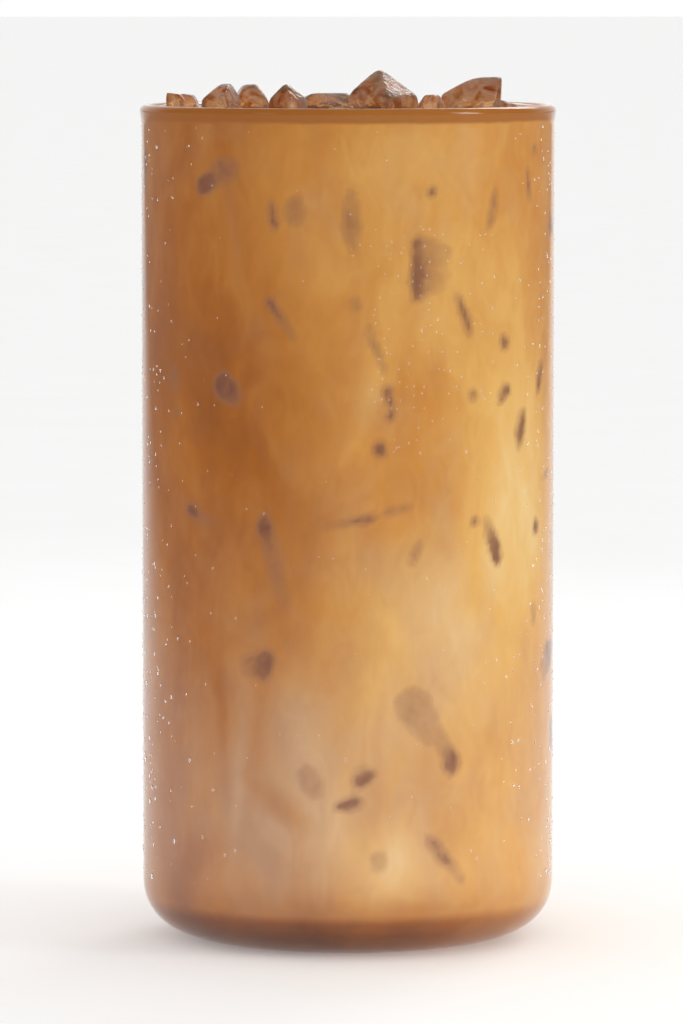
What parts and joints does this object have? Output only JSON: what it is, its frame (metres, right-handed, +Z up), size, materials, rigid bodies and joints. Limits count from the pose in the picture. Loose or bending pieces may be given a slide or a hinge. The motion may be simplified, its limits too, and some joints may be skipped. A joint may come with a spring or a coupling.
{
  "type": "glass of cold brew coffee with cream and ice",
  "caption": "Straight clear tumbler with a thick rounded foot, filled to the brim with milky iced coffee and heaped with cracked ice.",
  "frame": {"origin": "middle of the glass's underside, on the surface it stands on", "axes": "+Z up along the glass; -Y is the front, as the drink is shown; +X is to its right"},
  "size_m": [0.0736, 0.0736, 0.1542],
  "materials": {
    "glass": "clear, polished",
    "drink": "smooth milky coffee, darker at the top",
    "ice": "clear wet ice stained by coffee",
    "water": "drops of condensation"
  },
  "bodies": {
    "root": {"glass": "glass", "drink": "drink", "ice_peak": "ice", "ice_right": "ice", "ice_left": "ice", "ice_left_back": "ice", "ice_hump": "ice", "ice_slab": "ice", "ice_bit_far_left": "ice", "ice_bit_left": "ice", "ice_bit_right": "ice", "ice_bit_far_right": "ice", "ice_heap_1": "ice", "ice_heap_2": "ice", "ice_heap_3": "ice", "ice_heap_4": "ice", "ice_heap_5": "ice", "ice_heap_6": "ice", "ice_heap_7": "ice", "ice_heap_8": "ice", "ice_heap_9": "ice", "ice_heap_10": "ice", "ice_heap_11": "ice", "ice_heap_12": "ice", "ice_heap_13": "ice", "ice_heap_14": "ice", "ice_heap_15": "ice"}
  },
  "joints": []
}
